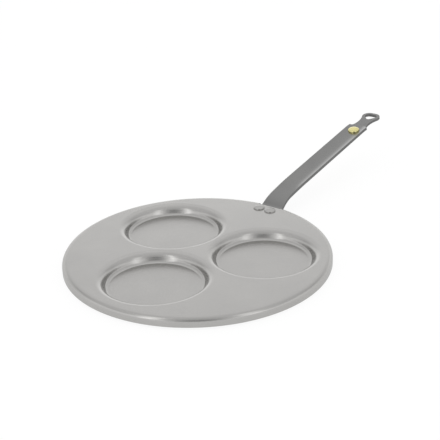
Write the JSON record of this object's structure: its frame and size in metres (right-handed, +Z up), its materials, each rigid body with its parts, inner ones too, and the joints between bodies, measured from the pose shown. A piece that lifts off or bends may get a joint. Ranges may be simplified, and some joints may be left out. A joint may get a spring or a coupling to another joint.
{
  "type": "pancake pan",
  "caption": "Flat round steel griddle pan with pressed round cups for small pancakes, a turned-down rim, a riveted strip handle with a hanging eye and a brass button.",
  "frame": {"origin": "middle of the pan's length, on its plane of symmetry, at the surface that the cup bottoms stand on", "axes": "+X from the plate along the handle, +Y across the handle, +Z up out of the cups"},
  "size_m": [0.4978, 0.27, 0.0513],
  "materials": {
    "plate_steel": "satin pale grey steel",
    "handle_steel": "satin dark grey steel",
    "rivet_steel": "satin grey steel",
    "brass": "polished"
  },
  "bodies": {
    "root": {"pan_plate": "plate_steel", "handle_strip": "handle_steel", "left_rivet": "rivet_steel", "right_rivet": "rivet_steel", "brass_button": "brass"}
  },
  "joints": []
}
